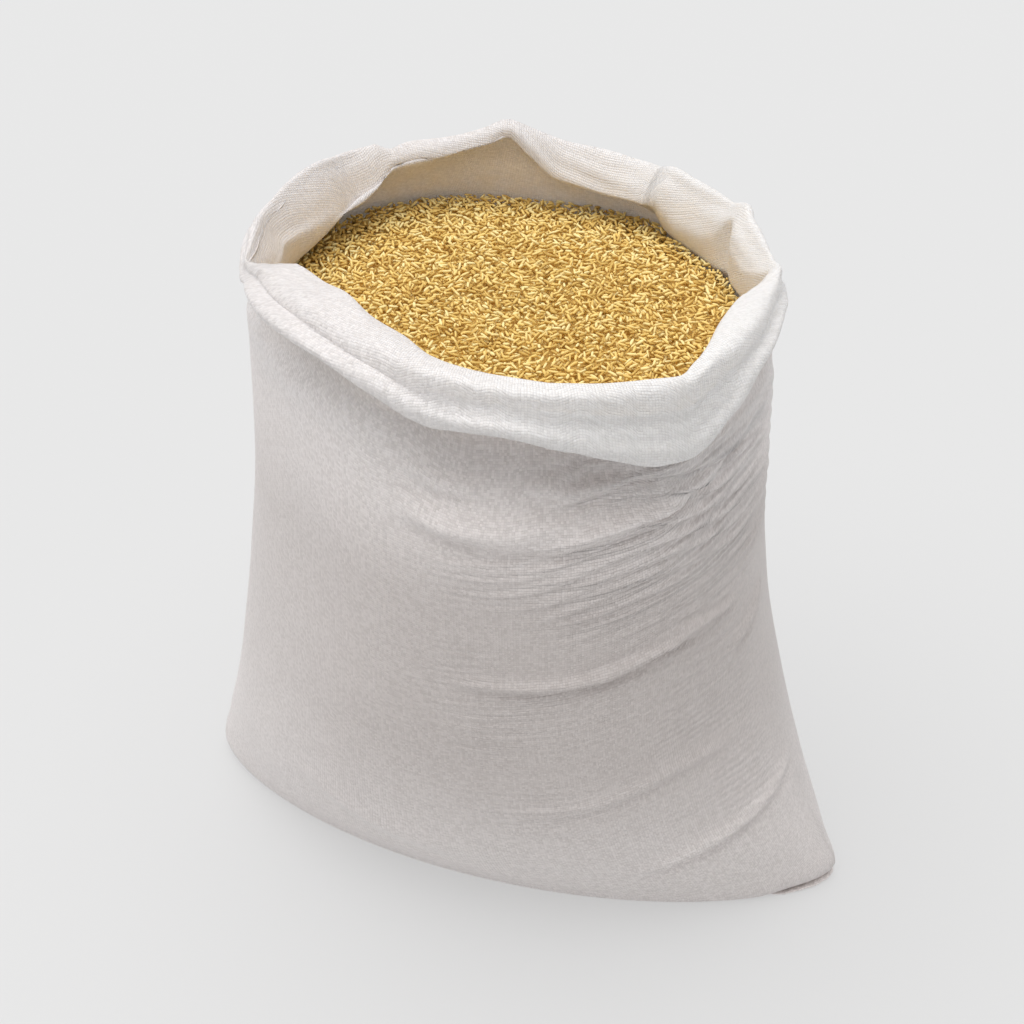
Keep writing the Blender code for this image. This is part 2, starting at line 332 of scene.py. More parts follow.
def fold_relief(angle, height):
    """How far the filled body's cloth stands out from its smooth form."""
    degrees = np.degrees(np.mod(angle, TWO_PI))
    relief = BODY_WAVES * wave_noise(angle, height, 9, 30, 12, 3)
    climb = DRAG_CLIMB * angle_window(degrees, 268, 338, 342, 420)
    across = height - climb + 0.004 * wave_noise(angle, height, 7, 22, 10, 5)
    upper = smooth_step(0.265, 0.330, height) * (1 - smooth_step(0.388, 0.410, height))
    right = angle_window(degrees, 272, 318, 352, 382)
    phase = TWO_PI * across / DRAG_PERIOD
    wander = np.clip(0.75 + 0.35 * wave_noise(angle, height, 5, 60, 10, 7), 0.1, 1.5)
    relief = relief + DRAG_RISE * upper * right * wander * (np.cos(phase) + 0.3 * np.cos(2 * phase + 0.9))
    middle = smooth_step(0.08, 0.20, height) * (1 - smooth_step(0.33, 0.37, height))
    centre = angle_window(degrees, 262, 284, 350, 376)
    fine = TWO_PI * across / FINE_PERIOD + 1.2 * wave_noise(angle, height, 6, 30, 10, 9)
    patchy = np.clip(0.4 + 0.6 * wave_noise(angle, height, 8, 50, 12, 11), 0, 1.6)
    relief = relief + FINE_RISE * middle * centre * patchy * np.cos(fine)
    for points, half_width, rise in CREASES:
        relief = relief + ridge(angle, height, points, half_width, rise)
    return relief


def neck_relief(angle, height):
    """The filled cloth draws in under the roll, most of all at the front."""
    degrees = np.degrees(np.mod(angle, TWO_PI))
    front = angle_window(degrees, 252, 276, 300, 322)
    left = angle_window(degrees, 215, 240, 258, 272)
    drawn = NECK_DRAW * front * smooth_step(0.352, 0.412, height)
    drawn = drawn + NECK_DRAW_LEFT * left * smooth_step(0.372, 0.420, height)
    pleats = np.cos(44 * angle + 60 * height) + 0.6 * np.cos(61 * angle - 40 * height + 1.0)
    hollow = smooth_step(0.375, 0.405, height) * (1 - smooth_step(0.425, 0.440, height))
    return -drawn + PLEAT_RISE * front * hollow * pleats


def roll_relief(angle, along):
    """Long soft dents and fine lengthwise streaks in the rolled cloth. along is the path in metres."""
    dents = wave_noise(angle, along, 14, 45, 16, 21)
    creased = 0.5 - np.abs(np.tanh(1.3 * wave_noise(angle, along, 11, 70, 12, 23)))
    streaks = wave_noise(angle, along, 10, 620, 26, 25)
    return ROLL_DENTS * dents + ROLL_CREASES * creased + ROLL_STREAKS * streaks


def outward_normals(loops):
    """Normals of a grid of loops that are closed around the sack."""
    around = np.roll(loops, -1, axis=1) - np.roll(loops, 1, axis=1)
    upward = np.gradient(loops, axis=0)
    normal = np.cross(around, upward)
    length = np.linalg.norm(normal, axis=-1, keepdims=True)
    return normal / np.maximum(length, 1e-12)


def ring_faces(rows, columns):
    """Vertex numbers of a grid of loops that are closed around the sack, and the faces between them."""
    index = np.arange(rows * columns).reshape(rows, columns)
    beside = np.roll(index, -1, axis=1)
    return index, np.stack((index[:-1], beside[:-1], beside[1:], index[1:]), -1).reshape(-1, 4)


def path_lengths(loops):
    steps = np.linalg.norm(np.diff(loops, axis=0), axis=-1)
    return np.concatenate((np.zeros((1, loops.shape[1])), np.cumsum(steps, axis=0)))


def cloth_loops(angle):
    """All loops of the cloth with its folds, from the floor seam to the tucked-in edge."""
    body = body_loops(angle)
    loops = np.concatenate((body, mouth_loops(angle)[1:]))
    height = loops[..., 2]
    around = np.broadcast_to(angle, loops.shape[:2])
    off_floor = np.arange(len(loops))[:, None] > FLOOR_ROWS
    path = path_lengths(loops) - path_lengths(body)[-1]
    relief = fold_relief(around, height) * smooth_step(0.012, 0.06, height) * off_floor
    loops = loops + outward_normals(loops) * (relief * (1 - smooth_step(0.020, 0.045, path)))[..., None]
    inward = neck_relief(around, height) * (1 - smooth_step(0.026, 0.050, path)) * off_floor
    loops[..., 0] += np.cos(around) * inward
    loops[..., 1] += np.sin(around) * inward
    rolled = smooth_step(0.035, 0.075, path)
    return loops + outward_normals(loops) * (rolled * roll_relief(around, path))[..., None], len(body)


# ---------------------------------------------------------------- mesh helpers

def deselect_all():
    for item in list(bpy.context.selected_objects):
        item.select_set(False)


def link(name, mesh):
    item = bpy.data.objects.new(name, mesh)
    bpy.context.scene.collection.objects.link(item)
    return item


def apply_modifiers(item):
    deselect_all()
    item.select_set(True)
    bpy.context.view_layer.objects.active = item
    for modifier in list(item.modifiers):
        bpy.ops.object.modifier_apply(modifier=modifier.name)
    item.select_set(False)


def place(points):
    """From the tables' own place to the frame's."""
    return points * SIZE + (0, SEAM_Y, 0)


def make_cloth(angle, loops, body_rows, material):
    """The whole cloth as one thin closed sheet, with its flat cut kept in the UV map."""
    rows, columns = loops.shape[:2]
    along = path_lengths(loops)
    _, faces = ring_faces(rows, columns)
    mesh = bpy.data.meshes.new("sack_cloth")
    mesh.from_pydata(place(loops).reshape(-1, 3).tolist(), [], faces.tolist())
    weave = mesh.uv_layers.new(name="weave")
    u = np.broadcast_to(angle * GIRTH / TWO_PI, (rows, columns))
    u_next = np.broadcast_to(np.append(angle[1:], TWO_PI) * GIRTH / TWO_PI, (rows, columns))
    along_next = np.roll(along, -1, axis=1)
    corners = np.stack((
        np.stack((u[:-1], along[:-1]), -1), np.stack((u_next[:-1], along_next[:-1]), -1),
        np.stack((u_next[1:], along_next[1:]), -1), np.stack((u[1:], along[1:]), -1)), 2)
    weave.data.foreach_set("uv", corners.reshape(-1))
    row = np.arange(rows)[:, None]
    on_wall = (row > body_rows) & (row < body_rows + WALL_ROWS + 20)
    near = 1 - smooth_step(0.004, 0.060, loops[..., 2] - LITTER_EDGE)
    dust_bounce_layer = mesh.attributes.new("litter_dust_and_bounce", "FLOAT", "POINT")
    dust_bounce_layer.data.foreach_set("value", (near * on_wall).astype(np.float32).reshape(-1))
    bm = bmesh.new()
    bm.from_mesh(mesh)
    bmesh.ops.remove_doubles(bm, verts=bm.verts, dist=0.00002)
    bm.to_mesh(mesh)
    bm.free()
    mesh.shade_smooth()
    mesh.materials.append(material)
    cloth = link("sack_cloth", mesh)
    outer_count = len(mesh.vertices)
    wall = cloth.modifiers.new("thickness", "SOLIDIFY")
    wall.thickness = CLOTH
    wall.offset = -1
    apply_modifiers(cloth)
    # the vertices that the modifier adds are the inner face; litter dust, and painted warm light bounced from
    # the litter, go on that face only
    dust_bounce_layer = cloth.data.attributes["litter_dust_and_bounce"]
    values = np.zeros(len(cloth.data.vertices), np.float32)
    dust_bounce_layer.data.foreach_get("value", values)
    values[:outer_count] = 0
    dust_bounce_layer.data.foreach_set("value", values)
    inside = cloth.data.attributes.new("inner_face", "FLOAT", "POINT")
    values[:] = 1
    values[:outer_count] = 0
    inside.data.foreach_set("value", values)
    return cloth


# ---------------------------------------------------------------- hem and stitches

HEM_FRONT = ((-0.206, -0.026), (-0.150, -0.031), (-0.050, -0.030), (0.080, -0.033), (0.150, -0.032),
             (0.196, -0.0335), (0.2036, -0.0312), (0.2136, -0.0245), (0.2226, -0.0165),
             (0.2290, -0.0070), (0.2307, 0.0010))
HEM_BACK = ((-0.206, 0.003), (-0.150, 0.004), (-0.050, 0.004), (0.080, 0.004), (0.150, 0.004),
            (0.196, 0.005), (0.2036, 0.006), (0.2116, 0.007), (0.2196, 0.008),
            (0.2262, 0.0085), (0.2300, 0.0080))
STITCH = 0.008             # length of one stitch
STITCH_LINE = -0.007       # place of the seam from the front to the back
THREAD_HEIGHTS = (0.0006, 0.0024)   # the loops under the hem and over it


def make_hem(material):
    """The bottom end of the cloth, folded over and lying flat under the sack, its corner showing."""
    front, back = np.array(HEM_FRONT), np.array(HEM_BACK)
    knots = np.linspace(0, 1, len(front))
    spots = np.linspace(0, 1, 121)
    front = np.stack([np.interp(spots, knots, front[:, i]) for i in (0, 1)], -1)
    back = np.stack([np.interp(spots, knots, back[:, i]) for i in (0, 1)], -1)
    shares = np.linspace(0, 1, 13)[:, None, None]
    plan = back + (front - back) * shares
    curl = 0.0020 * smooth_step(0.200, 0.226, plan[..., 0]) * (0.4 + 0.6 * np.sin(shares[..., 0] * 3.0))
    height = 0.0010 + 0.00025 * np.sin(plan[..., 0] * 260) * np.sin(shares[..., 0] * 5) + curl
    grid = np.concatenate((plan, height[..., None]), -1)
    rows, columns = grid.shape[:2]
    index = np.arange(rows * columns).reshape(rows, columns)
    faces = np.stack((index[:-1, :-1], index[1:, :-1], index[1:, 1:], index[:-1, 1:]), -1).reshape(-1, 4)
    mesh = bpy.data.meshes.new("bottom_hem")
    mesh.from_pydata(place(grid).reshape(-1, 3).tolist(), [], faces.tolist())
    weave = mesh.uv_layers.new(name="weave")
    corners = grid.reshape(-1, 3)[faces.reshape(-1)][:, :2]
    weave.data.foreach_set("uv", corners.reshape(-1))
    mesh.shade_smooth()
    mesh.materials.append(material)
    hem = link("bottom_hem", mesh)
    wall = hem.modifiers.new("two_layers", "SOLIDIFY")
    wall.thickness = 2.2 * CLOTH
    wall.offset = 1
    rounded = hem.modifiers.new("folded_edge", "BEVEL")
    rounded.width = 0.0003
    rounded.segments = 2
    rounded.limit_method = "ANGLE"
    apply_modifiers(hem)
    return hem


def make_stitches(material):
    """The closing seam: a chain of thread loops over and under the hem."""
    verts, faces = [], []
    sides = 6
    start, end = THREAD_LOW.x, THREAD_HIGH.x
    count = int((end - start) / (STITCH * SIZE))
    for number in range(count):
        middle = start + (number + 0.5) * (end - start) / count
        for height in THREAD_HEIGHTS:
            sway = 0.0004 * math.sin(2.4 * number + 300 * height)
            base = len(verts)
            for along, girth in ((-0.47, 0.35), (-0.30, 0.85), (0, 1.0), (0.30, 0.85), (0.47, 0.35)):
                for k in range(sides):
                    turn = TWO_PI * k / sides
                    verts.append((middle + along * STITCH * SIZE,
                                  SEAM_Y + (STITCH_LINE + sway + 0.0006 * girth * math.cos(turn)) * SIZE,
                                  (height + 0.00055 * girth * math.sin(turn)) * SIZE))
            for ring in range(4):
                for k in range(sides):
                    a, b = base + ring * sides + k, base + ring * sides + (k + 1) % sides
                    faces.append((a, b, b + sides, a + sides))
            faces.append(tuple(base + k for k in reversed(range(sides))))
            faces.append(tuple(base + 4 * sides + k for k in range(sides)))
    mesh = bpy.data.meshes.new("bottom_stitches")
    mesh.from_pydata(verts, [], faces)
    bm = bmesh.new()
    bm.from_mesh(mesh)
    bmesh.ops.recalc_face_normals(bm, faces=bm.faces)
    bm.to_mesh(mesh)
    bm.free()
    mesh.shade_smooth()
    mesh.materials.append(material)
    return link("bottom_stitches", mesh)


# ---------------------------------------------------------------- granules

GRANULE_LENGTH = 0.0056
GRANULE_WIDTH = 0.0021
GRANULE_KINDS = 14
GRANULE_DROPS = 120000     # places tried while the heap is filled
GRANULE_PIECES = 3
LITTER_CROWN = 0.009       # height of the litter's middle over its edge
HEAP_CELL = 0.0012         # grid that keeps the height of the heap
HEAP_HALF = 0.18
BED_DEPTH = 0.009          # depth of loose granules over the solid bed
BED_GAP = 0.012            # the bed's sides stay this far inside the folded cloth


def litter_outline(angle, loops, body_rows):
    """Radius of the litter's surface in each direction, just inside the cloth."""
    radii, heights = [], []
    for loop in loops[body_rows - 8:body_rows + WALL_ROWS - 1]:
        direction = np.arctan2(loop[:, 1], loop[:, 0]) % TWO_PI
        order = np.argsort(direction)
        radius = np.hypot(loop[order, 0], loop[order, 1])
        radii.append(np.interp(angle, direction[order], radius, period=TWO_PI))
        heights.append(np.interp(angle, direction[order], loop[order, 2], period=TWO_PI))
    levels = LITTER_EDGE + np.array((-0.004, -0.002, 0, 0.001))
    walls = zip(np.transpose(heights), np.transpose(radii))
    rim = [np.interp(levels, height, radius).min() for height, radius in walls]
    return np.array(rim) - CLOTH - 0.0003


def litter_height(x, y):
    reach = np.hypot(x, y) / 0.155
    ripple = 0.0016 * np.cos(31 * x + 1.0) * np.cos(27 * y - 0.6)
    return LITTER_EDGE + LITTER_CROWN * (1 - reach ** 2) + ripple


def granule_shape(random):
    """One elongated granule along X: five sides, blunt uneven ends."""
    sides = 5
    stations = (-0.5, -0.30, 0.05, 0.33, 0.5)
    girths = (0.30, 0.92, 1.0, 0.86, 0.34)
    length = GRANULE_LENGTH * random.uniform(0.65, 1.3)
    width = GRANULE_WIDTH * random.uniform(0.8, 1.25)
    bow = random.uniform(-0.10, 0.10) * width
    verts = []
    for place_x, girth in zip(stations, girths):
        for k in range(sides):
            turn = TWO_PI * (k + random.uniform(-0.15, 0.15)) / sides
            radius = width / 2 * girth * random.uniform(0.78, 1.15)
            verts.append((place_x * length, math.cos(turn) * radius + bow * (1 - 4 * place_x ** 2),
                          math.sin(turn) * radius * 0.86))
    faces = []
    for ring in range(len(stations) - 1):
        for k in range(sides):
            a, b = ring * sides + k, ring * sides + (k + 1) % sides
            faces.append((a, b, b + sides, a + sides))
    faces.append(tuple(reversed(range(sides))))
    faces.append(tuple(range(len(verts) - sides, len(verts))))
    return np.array(verts), faces, length, width


def settle_granules(random, kinds, outline_angle, outline):
    """Drop granules one by one onto the bed until its surface is reached."""
    cell, half = HEAP_CELL, HEAP_HALF
    count = int(2 * half / cell)
    axis = (np.arange(count) + 0.5) * cell - half
    grid_x, grid_y = np.meshgrid(axis, axis, indexing="ij")
    heap = litter_height(grid_x, grid_y) - BED_DEPTH
    placed = []
    spots = random.uniform(-half * 0.98, half * 0.98, (GRANULE_DROPS, 2))
    turns = random.uniform(0, TWO_PI, GRANULE_DROPS)
    picks = random.integers(0, len(kinds), GRANULE_DROPS)
    for (x, y), turn, pick in zip(spots, turns, picks):
        edge = np.interp(math.atan2(y, x) % TWO_PI, outline_angle, outline, period=TWO_PI)
        if math.hypot(x, y) > edge - 0.0008:
            continue
        _, _, length, width = kinds[pick]
        dx, dy = math.cos(turn), math.sin(turn)
        offsets = np.linspace(-0.42, 0.42, 7) * length
        tips_x, tips_y = x + dx * offsets, y + dy * offsets
        tip_edges = np.interp(np.arctan2(tips_y, tips_x) % TWO_PI, outline_angle, outline, period=TWO_PI)
        if (np.hypot(tips_x, tips_y) > tip_edges - 0.0002).any():
            continue
        i = ((tips_x + half) / cell).astype(int)
        j = ((tips_y + half) / cell).astype(int)
        under = heap[i, j]
        target = litter_height(x, y)
        if under.max() > target - width * 0.35:
            continue
        back, front = under[:3].max(), under[4:].max()
        slope = np.clip((front - back) / (length * 0.62), -0.55, 0.55)
        lift = max((under - offsets * slope).max(), 0)
        z = lift + width * 0.40
        placed.append((x, y, z, turn, math.atan(slope), pick))
        top = z + offsets * slope + width * 0.38
        for shift in (-1, 0, 1):
            si = np.clip(i + round(shift * -dy), 0, count - 1)
            sj = np.clip(j + round(shift * dx), 0, count - 1)
            heap[si, sj] = np.maximum(heap[si, sj], top - 0.0004 * abs(shift))
    return placed


def make_granules(material, outline_angle, outline):
    random = np.random.default_rng(17)
    kinds = [granule_shape(random) for _ in range(GRANULE_KINDS)]
    placed = settle_granules(random, kinds, outline_angle, outline)
    pieces = []
    share = math.ceil(len(placed) / GRANULE_PIECES)
    for part in range(GRANULE_PIECES):
        group = placed[part * share:(part + 1) * share]
        verts, faces, tones = [], [], []
        base = 0
        for x, y, z, turn, pitch, pick in group:
            shape, shape_faces, _, _ = kinds[pick]
            spin = random.uniform(0, TWO_PI)
            cs, sn = math.cos(spin), math.sin(spin)
            rolled = np.stack((shape[:, 0], shape[:, 1] * cs - shape[:, 2] * sn,
                               shape[:, 1] * sn + shape[:, 2] * cs), -1)
            cp, sp = math.cos(pitch), math.sin(pitch)
            tilted = np.stack((rolled[:, 0] * cp - rolled[:, 2] * sp, rolled[:, 1],
                               rolled[:, 0] * sp + rolled[:, 2] * cp), -1)
            ct, st = math.cos(turn), math.sin(turn)
            verts.append(np.stack((tilted[:, 0] * ct - tilted[:, 1] * st + x,
                                   tilted[:, 0] * st + tilted[:, 1] * ct + y, tilted[:, 2] + z), -1))
            faces += [tuple(base + v for v in face) for face in shape_faces]
            base += len(shape)
            tones.append(np.full(len(shape), random.random()))
        mesh = bpy.data.meshes.new(f"litter_granules_{part + 1}")
        mesh.from_pydata(place(np.concatenate(verts)).tolist(), [], faces)
        tone = mesh.attributes.new("granule_tone", "FLOAT", "POINT")
        tone.data.foreach_set("value", np.concatenate(tones).astype(np.float32))
        mesh.shade_smooth()
        mesh.materials.append(material)
        pieces.append(link(mesh.name, mesh))
    return pieces


def make_litter_bed(material, cloth, body_rows, angle, outline):
    """The litter under the loose granules, as one closed body inside the cloth."""
    loops = []
    for row in range(FLOOR_ROWS + 6, body_rows, 6):
        direction = np.arctan2(cloth[row, :, 1], cloth[row, :, 0]) % TWO_PI
        order = np.argsort(direction)
        radius = np.hypot(cloth[row, order, 0], cloth[row, order, 1])
        radius = np.interp(angle, direction[order], radius, period=TWO_PI) - BED_GAP
        loops.append(polar_loop(angle, np.minimum(radius, outline + 0.030), cloth[row, :, 2].mean()))
    edge = outline - 0.001
    for share in (1.0, 0.85, 0.65, 0.45, 0.25, 0.10):
        x, y = edge * share * np.cos(angle), edge * share * np.sin(angle)
        loops.append(np.stack((x, y, litter_height(x, y) - BED_DEPTH + 0.001), -1))
    grid = np.array(loops)
    rows, columns = grid.shape[:2]
    index, faces = ring_faces(rows, columns)
    faces = faces.tolist()
    faces.append(index[0][::-1].tolist())
    faces.append(index[-1].tolist())
    mesh = bpy.data.meshes.new("litter_bed")
    mesh.from_pydata(place(grid).reshape(-1, 3).tolist(), [], faces)
    tone = mesh.attributes.new("granule_tone", "FLOAT", "POINT")
    # the bed is coloured darker than the mean granule: painted shade deep in the gaps between the granules
    tone.data.foreach_set("value", np.full(rows * columns, 0.2, np.float32))
    mesh.shade_smooth()
    mesh.materials.append(material)
    return link("litter_bed", mesh)


# ---------------------------------------------------------------- materials

TAPE_WIDTH = GIRTH / 624    # 624 tapes of 1.7 mm go round, so the weave meets itself
FOLD_HEIGHT = 0.0019        # height of the strongest fine folds
STRONG_FOLD_PERIOD = 0.0085
SLIGHT_FOLD_PERIOD = 0.0056
SLIGHT_FOLD_SHARE = 0.34
CLOTH_COLOUR = (0.80, 0.74, 0.72)
CLOTH_LIGHT = (0.98, 0.92, 0.90)
CLOTH_SHADE = (0.50, 0.45, 0.42)
# painted sheen streaks along the roll
CLOTH_PAINTED_SHEEN_STREAK = (0.66, 0.60, 0.54)
# painted shade in the weave's dips
CLOTH_PAINTED_GAP_SHADE = (0.36, 0.32, 0.29)
# painted light on the cloth's inner face
CLOTH_INSIDE_PAINTED_LIGHT = (0.98, 0.95, 0.925)
CLOTH_FILLED_AND_PAINTED_SHADE = (0.76, 0.745, 0.735)   # painted shade darkening the body's middle, more towards its right, and where the litter presses on the cloth and shows through
# litter dust, and painted warm light bounced up from the litter
DUST_AND_BOUNCE_COLOUR = (0.90, 0.70, 0.46)
GRANULE_DARK = (0.60, 0.37, 0.085)
GRANULE_COLOUR = (0.90, 0.65, 0.21)
GRANULE_LIGHT = (0.97, 0.82, 0.40)


def new_material(name, colour, roughness):
    material = bpy.data.materials.new(name)
    material.use_nodes = True
    shader = material.node_tree.nodes["Principled BSDF"]
    shader.inputs["Base Color"].default_value = (*colour, 1)
    shader.inputs["Roughness"].default_value = roughness
    return material, material.node_tree, shader


def add_node(tree, kind, label, **settings):
    node = tree.nodes.new(kind)
    node.label = label
    for name, value in settings.items():
        setattr(node, name, value)
    return node


def maths(tree, operation, first, second=None, third=None):
    """A Math node; numbers are set on its sockets and sockets are linked to them."""
    node = tree.nodes.new("ShaderNodeMath")
    node.operation = operation
    for socket, value in zip(node.inputs, (first, second, third)):
        if value is None:
            continue
        if isinstance(value, (int, float)):
            socket.default_value = value
        else:
            tree.links.new(value, socket)
    return node.outputs[0]


def mix_colours(tree, share, first, second, blend="MIX"):
    node = tree.nodes.new("ShaderNodeMix")
    node.data_type = "RGBA"
    node.blend_type = blend
    for socket, value in ((node.inputs[0], share), (node.inputs[6], first), (node.inputs[7], second)):
        if isinstance(value, (int, float)):
            socket.default_value = value
        elif isinstance(value, tuple):
            socket.default_value = (*value, 1)
        else:
            tree.links.new(value, socket)
    return node.outputs[2]


def colour_ramp(tree, value, stops):
    node = tree.nodes.new("ShaderNodeValToRGB")
    elements = node.color_ramp.elements
    while len(elements) < len(stops):
        elements.new(0.5)
    for element, (position, colour) in zip(elements, stops):
        element.position = position
        element.color = (*colour, 1)
    tree.links.new(value, node.inputs["Fac"])
    return node.outputs["Color"]


def noise(tree, vector, scale, detail=2.0, roughness=0.5):
    node = tree.nodes.new("ShaderNodeTexNoise")
    node.inputs["Scale"].default_value = scale
    node.inputs["Detail"].default_value = detail
    node.inputs["Roughness"].default_value = roughness
    tree.links.new(vector, node.inputs["Vector"])
    return node.outputs["Fac"]


def ease(tree, value, low, high, first=0.0, last=1.0):
    """Smooth change from first to last while the value goes from low to high."""
    node = tree.nodes.new("ShaderNodeMapRange")
    node.interpolation_type = "SMOOTHSTEP"
    for name, number in (("From Min", low), ("From Max", high), ("To Min", first), ("To Max", last)):
        node.inputs[name].default_value = number
    tree.links.new(value, node.inputs["Value"])
    return node.outputs["Result"]


def fold_waves(tree, vector, period, distortion):
    """Long folds side by side, level along X of the vector."""
    node = add_node(tree, "ShaderNodeTexWave", "folds", bands_direction="Y")
    node.inputs["Scale"].default_value = TWO_PI / (20 * period)
    node.inputs["Distortion"].default_value = distortion
    node.inputs["Detail"].default_value = 2.0
    node.inputs["Detail Scale"].default_value = 0.9
    tree.links.new(vector, node.inputs["Vector"])
    return node.outputs["Fac"]


def stretched(tree, vector, scale):
    node = tree.nodes.new("ShaderNodeMapping")
    node.inputs["Scale"].default_value = scale
    tree.links.new(vector, node.inputs["Vector"])
    return node.outputs["Vector"]


def tape_weave_group():
    """Plain weave of flat tapes: height of the cloth, tone of each tape, and sparkle of each crossing."""
    group = bpy.data.node_groups.new("tape_weave", "ShaderNodeTree")
    group.interface.new_socket("Flat Cloth", in_out="INPUT", socket_type="NodeSocketVector")
    width = group.interface.new_socket("Tape Width", in_out="INPUT", socket_type="NodeSocketFloat")
    width.default_value = TAPE_WIDTH
    for name in ("Height", "Tone", "Sparkle"):
        group.interface.new_socket(name, in_out="OUTPUT", socket_type="NodeSocketFloat")
    entry = group.nodes.new("NodeGroupInput")
    leave = group.nodes.new("NodeGroupOutput")
    split = group.nodes.new("ShaderNodeSeparateXYZ")
    group.links.new(entry.outputs["Flat Cloth"], split.inputs[0])
    across = maths(group, "DIVIDE", split.outputs["X"], entry.outputs["Tape Width"])
    upward = maths(group, "DIVIDE", split.outputs["Y"], entry.outputs["Tape Width"])
    warp_number, weft_number = maths(group, "FLOOR", across), maths(group, "FLOOR", upward)
    warp_place, weft_place = maths(group, "FRACT", across), maths(group, "FRACT", upward)
    warp_on_top = maths(group, "MODULO", maths(group, "ADD", warp_number, weft_number), 2.0)
    warp_on_top = maths(group, "ABSOLUTE", warp_on_top)

    def tape(place_across, place_along):
        edge = maths(group, "ABSOLUTE", maths(group, "SUBTRACT", place_across, 0.5))
        flat = maths(group, "SUBTRACT", 1.0, maths(group, "POWER", maths(group, "MULTIPLY", edge, 2.0), 5.0))
        hump = maths(group, "SINE", maths(group, "MULTIPLY", place_along, math.pi))
        return maths(group, "MULTIPLY", flat, maths(group, "MULTIPLY_ADD", hump, 0.55, 0.45))

    def numbered(number, seed):
        white = add_node(group, "ShaderNodeTexWhiteNoise", "tape number", noise_dimensions="1D")
        group.links.new(maths(group, "ADD", number, seed), white.inputs["W"])
        return white.outputs["Value"]

    def pick(first, second):
        change = maths(group, "SUBTRACT", first, second)
        return maths(group, "MULTIPLY_ADD", change, warp_on_top, second)

    height = pick(tape(warp_place, weft_place), tape(weft_place, warp_place))
    cell = group.nodes.new("ShaderNodeCombineXYZ")
    group.links.new(warp_number, cell.inputs[0])
    group.links.new(weft_number, cell.inputs[1])
    crossing = add_node(group, "ShaderNodeTexWhiteNoise", "crossing", noise_dimensions="2D")
    group.links.new(cell.outputs[0], crossing.inputs["Vector"])
    tilt = maths(group, "SUBTRACT", crossing.outputs["Value"], 0.5)
    lean = maths(group, "MULTIPLY", tilt, maths(group, "ADD", warp_place, weft_place))
    group.links.new(maths(group, "MULTIPLY_ADD", lean, 0.9, height), leave.inputs["Height"])
    fibre = pick(noise(group, stretched(group, entry.outputs["Flat Cloth"], (3600, 90, 1)), 1.0, 2.0),
                 noise(group, stretched(group, entry.outputs["Flat Cloth"], (90, 3600, 1)), 1.0, 2.0))
    tone = pick(numbered(warp_number, 3.5), numbered(weft_number, 71.5))
    speckled = maths(group, "MULTIPLY", tone, 0.12)
    speckled = maths(group, "MULTIPLY_ADD", crossing.outputs["Value"], 0.35, speckled)
    group.links.new(maths(group, "MULTIPLY_ADD", fibre, 0.55, speckled),
                    leave.inputs["Tone"])
    group.links.new(crossing.outputs["Value"], leave.inputs["Sparkle"])
    return group


